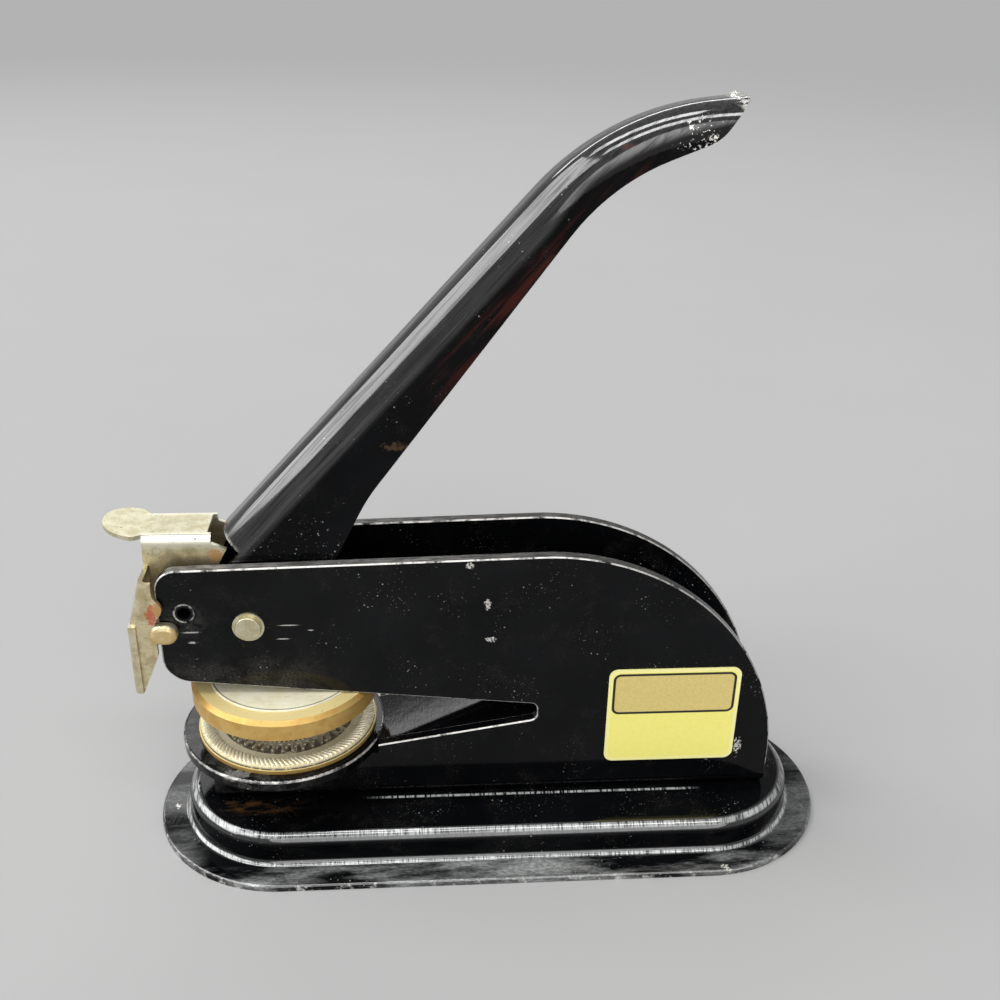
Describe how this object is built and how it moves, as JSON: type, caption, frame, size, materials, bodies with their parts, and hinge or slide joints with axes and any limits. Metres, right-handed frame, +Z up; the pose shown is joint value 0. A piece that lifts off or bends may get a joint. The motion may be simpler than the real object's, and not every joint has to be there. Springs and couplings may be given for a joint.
{
  "type": "desk seal embosser",
  "caption": "Hand-lever seal embosser: black enamelled frame on a stadium-shaped foot, brass-ringed round dies and a nickel front catch.",
  "frame": {"origin": "centre of the overall length and width, on the table", "axes": "+X to the rear, towards the grip; +Y to the far side; +Z up"},
  "size_m": [0.1578, 0.0594, 0.1589],
  "materials": {
    "enamel": "glossy black stoving enamel",
    "nickel": "worn nickel plating",
    "die_steel": "machined",
    "steel": "plain oiled steel",
    "brass": "polished",
    "label": "gold-coloured foil"
  },
  "bodies": {
    "stand": {"base": "enamel", "frame": "enamel", "foot_rivets": "enamel", "anvil_table": "enamel", "counter_die": "die_steel", "counter_ring": "brass", "counter_screw": "steel", "pivot_pin": "nickel", "guide_rivet": "enamel", "plunger_guide": "steel", "label": "label", "return_spring": "steel"},
    "handle": {"lever": "enamel", "cam": "steel", "cam_rivet": "steel", "pivot_bush": "brass"},
    "ram": {"plunger": "steel", "die_holder": "die_steel", "die_ring": "brass", "upper_die": "die_steel", "alignment_pin": "steel"},
    "catch": {"catch_slide": "nickel", "catch_plate": "nickel", "catch_rivets": "nickel"}
  },
  "joints": [
    {"name": "lever_pivot", "type": "hinge", "parent": "stand", "child": "handle", "pos_m": [-0.0496, 0, 0.0544], "axis": [0, 1, 0], "range_deg": [0, 44], "stiffness_Nm_per_rad": 0.12, "springref_deg": -51.57},
    {"name": "ram_slide", "type": "slide", "parent": "stand", "child": "ram", "axis": [0, 0, -1], "range_m": [0, 0.00655], "deforming": ["return_spring"]},
    {"name": "catch_slide_joint", "type": "slide", "parent": "stand", "child": "catch", "axis": [1, 0, 0], "range_m": [0, 0.0024]}
  ],
  "couplings": [
    {"joint": "ram_slide", "follows": "lever_pivot", "m_per_rad": 0.0084878}
  ]
}
